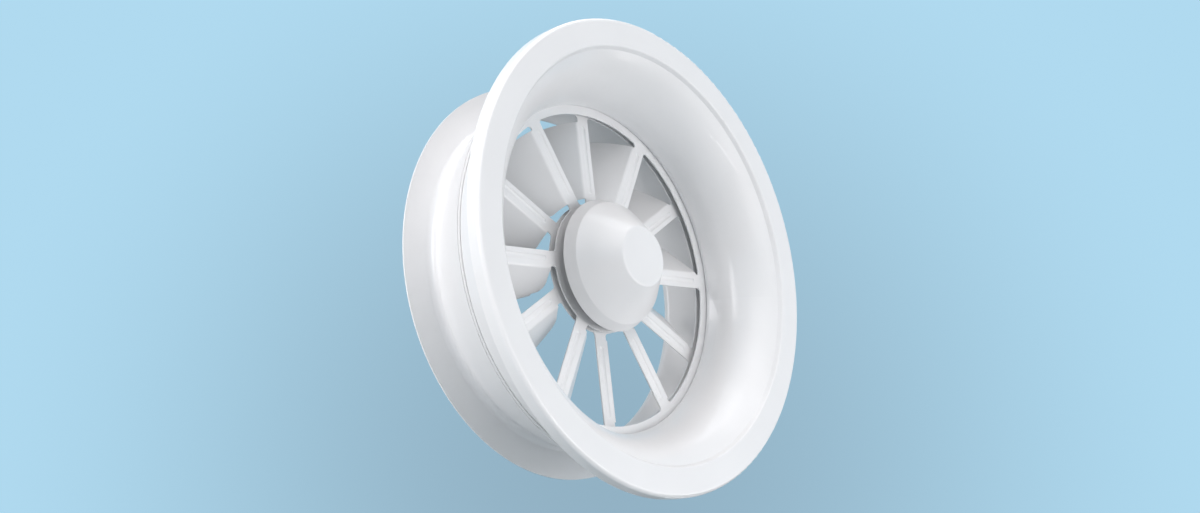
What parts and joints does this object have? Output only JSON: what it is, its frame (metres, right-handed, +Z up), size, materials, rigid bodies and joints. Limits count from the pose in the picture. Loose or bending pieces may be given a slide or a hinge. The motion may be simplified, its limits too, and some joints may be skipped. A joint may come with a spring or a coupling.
{
  "type": "swirl air outlet",
  "caption": "Round swirl air outlet of painted sheet metal: flared nozzle, two bladed swirl wheels, conical hub cap and rear housing with a mounting flange.",
  "frame": {"origin": "centre of the rear mounting face, on the air axis", "axes": "+Y points back into the duct along the air axis, so the mouth faces -Y; +Z is up and +X is to the right as seen from the front"},
  "size_m": [0.5, 0.145, 0.5],
  "materials": {
    "white_paint": "smooth satin powder coat",
    "zinc_steel": "bright zinc plating",
    "sealant": "matte"
  },
  "bodies": {
    "root": {"front_nozzle": "white_paint", "front_collar": "white_paint", "rear_housing": "white_paint", "front_swirl_wheel": "white_paint", "rear_swirl_wheel": "white_paint", "hub_cap": "white_paint", "seam_bead": "sealant", "wheel_screws": "zinc_steel", "wheel_washers": "zinc_steel", "wheel_spacers": "zinc_steel", "wheel_nuts": "zinc_steel", "hub_bolt": "zinc_steel", "hub_rear_washer": "zinc_steel", "hub_spacer": "zinc_steel", "hub_front_washer": "zinc_steel", "hub_nut": "zinc_steel", "cap_lock_nut": "zinc_steel", "cap_standoff": "zinc_steel"}
  },
  "joints": []
}
